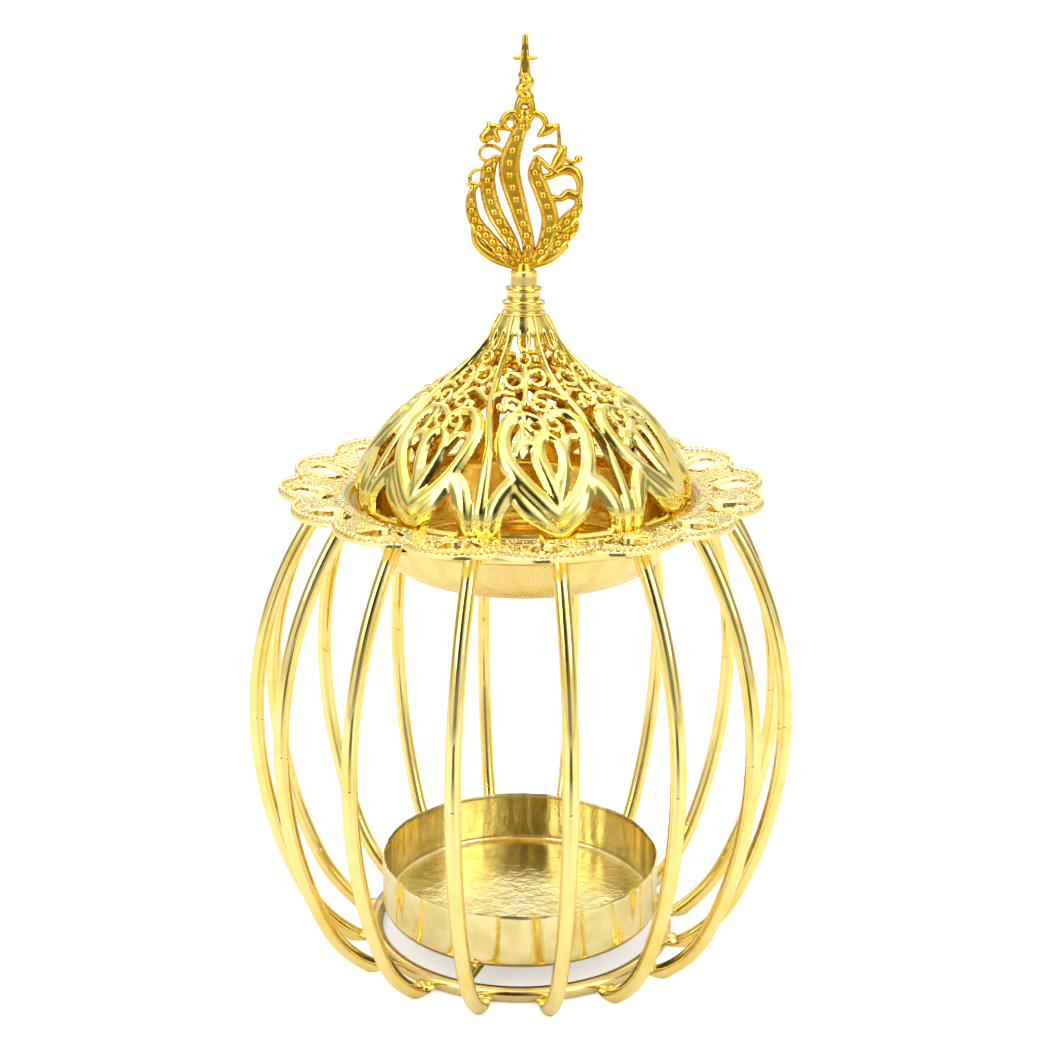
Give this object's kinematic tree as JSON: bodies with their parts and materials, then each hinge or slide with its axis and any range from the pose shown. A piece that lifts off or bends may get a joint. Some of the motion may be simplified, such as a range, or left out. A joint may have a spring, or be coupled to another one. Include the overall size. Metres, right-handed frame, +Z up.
{
  "type": "incense burner",
  "caption": "Free-standing gold wire-cage incense burner with a candle cup, a lift-off lace-flanged bowl and a pierced domed lid with a cast finial.",
  "frame": {"origin": "centre of the footprint on the floor", "axes": "+Z up along the burner's axis, -Y towards the front, +X to the right"},
  "size_m": [0.107, 0.107, 0.18],
  "materials": {
    "cage_wire": "steel wire, polished gold plate",
    "ring_wire": "steel wire, thin gold plate with bare grey patches",
    "cup_sheet": "steel sheet, pale champagne gold plate, slightly wrinkled",
    "bowl_sheet": "stamped sheet, gold plate, grained flange and cross-hatched underside",
    "lid_sheet": "pierced sheet, bright gold plate",
    "stem_brass": "turned and polished",
    "finial_casting": "cast, deep antique gold plate",
    "fastener_steel": "zinc-plated steel"
  },
  "bodies": {
    "cage": {"rib_01": "cage_wire", "rib_02": "cage_wire", "rib_03": "cage_wire", "rib_04": "cage_wire", "rib_05": "cage_wire", "rib_06": "cage_wire", "rib_07": "cage_wire", "rib_08": "cage_wire", "rib_09": "cage_wire", "rib_10": "cage_wire", "rib_11": "cage_wire", "rib_12": "cage_wire", "rib_13": "cage_wire", "rib_14": "cage_wire", "rib_15": "cage_wire", "rib_16": "cage_wire", "base_ring": "ring_wire", "cross_bar": "ring_wire", "upper_ring": "cage_wire", "candle_cup": "cup_sheet"},
    "bowl": {"bowl": "bowl_sheet"},
    "lid": {"lid": "lid_sheet", "lid_washer": "fastener_steel", "lid_screw": "fastener_steel", "finial_stem": "stem_brass", "finial": "finial_casting"}
  },
  "joints": [
    {"name": "bowl_lift", "type": "slide", "parent": "cage", "child": "bowl", "axis": [0, 0, 1], "range_m": [0, 0.04]},
    {"name": "lid_lift", "type": "slide", "parent": "bowl", "child": "lid", "axis": [0, 0, 1], "range_m": [0, 0.045]}
  ]
}
